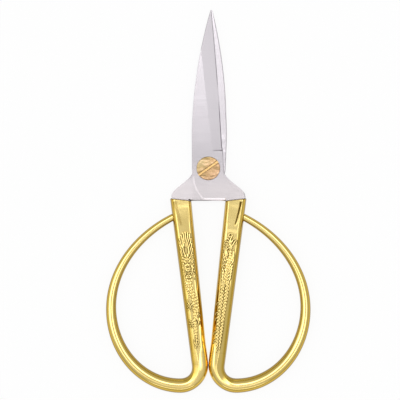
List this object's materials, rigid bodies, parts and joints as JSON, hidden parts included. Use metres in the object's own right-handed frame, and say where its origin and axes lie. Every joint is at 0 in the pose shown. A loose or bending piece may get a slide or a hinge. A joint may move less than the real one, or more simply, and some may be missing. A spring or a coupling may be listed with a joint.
{
  "type": "tailor scissors",
  "caption": "Tailor scissors: ground steel blades on a slotted pivot screw, with gilt cast handles whose relief-worked bars curl into round finger loops.",
  "frame": {"origin": "on the pivot axis, at the end face of the pivot screw, in the plane that the closed scissors lie on", "axes": "+Y from the pivot to the blade tips along the handles' middle plane, +X to the right seen from the front, +Z out of the front face"},
  "size_m": [0.1068, 0.1999, 0.0093],
  "materials": {
    "blade_steel": "fine ground satin steel",
    "gilt_casting": "polished gold-coloured plating over a casting",
    "screw_brass": "turned brass",
    "spring_steel": "plain spring steel"
  },
  "bodies": {
    "rear_half": {"rear_blade": "blade_steel", "left_handle": "gilt_casting", "pivot_screw": "screw_brass", "spring_washer": "spring_steel", "rear_washer": "screw_brass", "lock_nut": "screw_brass"},
    "front_half": {"front_blade": "blade_steel", "right_handle": "gilt_casting"}
  },
  "joints": [
    {"name": "pivot", "type": "hinge", "parent": "rear_half", "child": "front_half", "pos_m": [0, 0, 0.0045], "axis": [0, 0, 1], "range_deg": [0, 106]}
  ]
}
